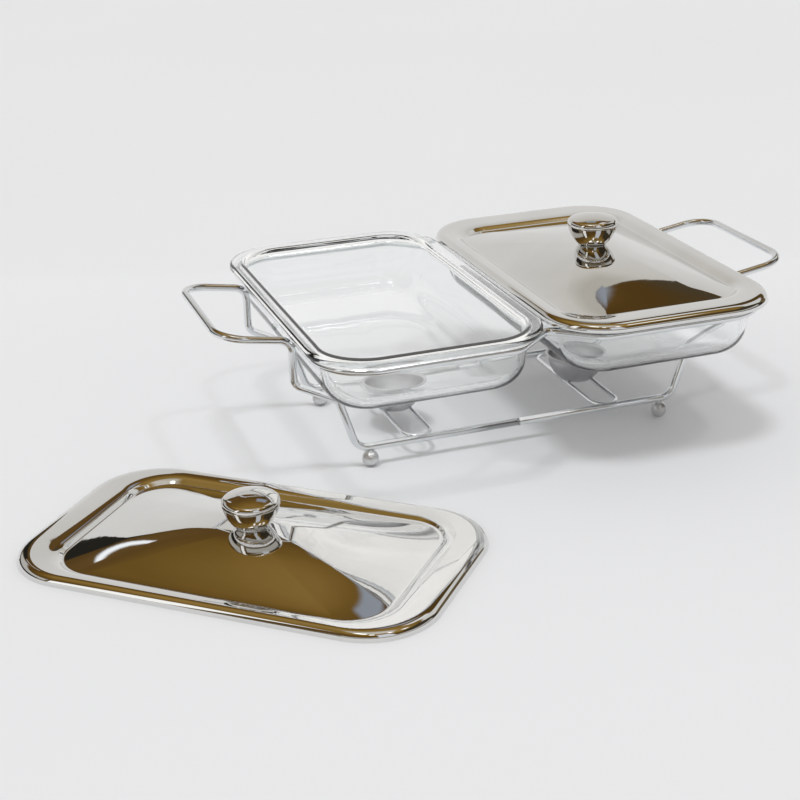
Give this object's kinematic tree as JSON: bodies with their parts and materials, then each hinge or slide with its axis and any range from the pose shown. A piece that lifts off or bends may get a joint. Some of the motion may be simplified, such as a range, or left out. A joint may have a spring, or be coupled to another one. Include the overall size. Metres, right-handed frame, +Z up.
{
  "type": "twin glass dish food warmer",
  "caption": "Bent-wire stand holding rectangular glass dishes over candle cups, with lift-off domed steel lids; one lid lies on the table.",
  "frame": {"origin": "on the table, under the middle of the box around the whole set, loose lid included", "axes": "+X along the row of dishes to the right, +Y to the rear, +Z up from the table"},
  "size_m": [0.545, 0.4, 0.1336],
  "materials": {
    "plated_wire": "chrome-plated steel wire",
    "lid_steel": "mirror-polished stainless sheet",
    "knob_steel": "polished turned stainless steel",
    "cup_steel": "bright pressed steel",
    "fixing_steel": "plain stainless fixing",
    "dish_glass": "clear pressed borosilicate glass"
  },
  "bodies": {
    "stand": {"rim_loop_wire": "plated_wire", "left_end_wire": "plated_wire", "right_end_wire": "plated_wire", "left_cradle_wire": "plated_wire", "right_cradle_wire": "plated_wire", "left_candle_cup": "cup_steel", "right_candle_cup": "cup_steel", "ball_foot_front_left": "plated_wire", "ball_foot_front_right": "plated_wire", "ball_foot_rear_left": "plated_wire", "ball_foot_rear_right": "plated_wire"},
    "left_dish": {"left_glass_dish": "dish_glass"},
    "right_dish": {"right_glass_dish": "dish_glass"},
    "right_lid": {"right_lid_shell": "lid_steel", "right_lid_knob": "knob_steel", "right_lid_screw": "fixing_steel", "right_lid_washer": "fixing_steel"},
    "loose_lid": {"loose_lid_shell": "lid_steel", "loose_lid_knob": "knob_steel", "loose_lid_screw": "fixing_steel", "loose_lid_washer": "fixing_steel"}
  },
  "joints": [
    {"name": "left_dish_lift", "type": "slide", "parent": "stand", "child": "left_dish", "axis": [0, 0, 1], "range_m": [0, 0.06]},
    {"name": "right_dish_lift", "type": "slide", "parent": "stand", "child": "right_dish", "axis": [0, 0, 1], "range_m": [0, 0.06]},
    {"name": "right_lid_lift", "type": "slide", "parent": "right_dish", "child": "right_lid", "axis": [0, 0, 1], "range_m": [0, 0.05]},
    {"name": "loose_lid_lift", "type": "slide", "parent": "stand", "child": "loose_lid", "axis": [0, 0, 1], "range_m": [0, 0.05]}
  ]
}
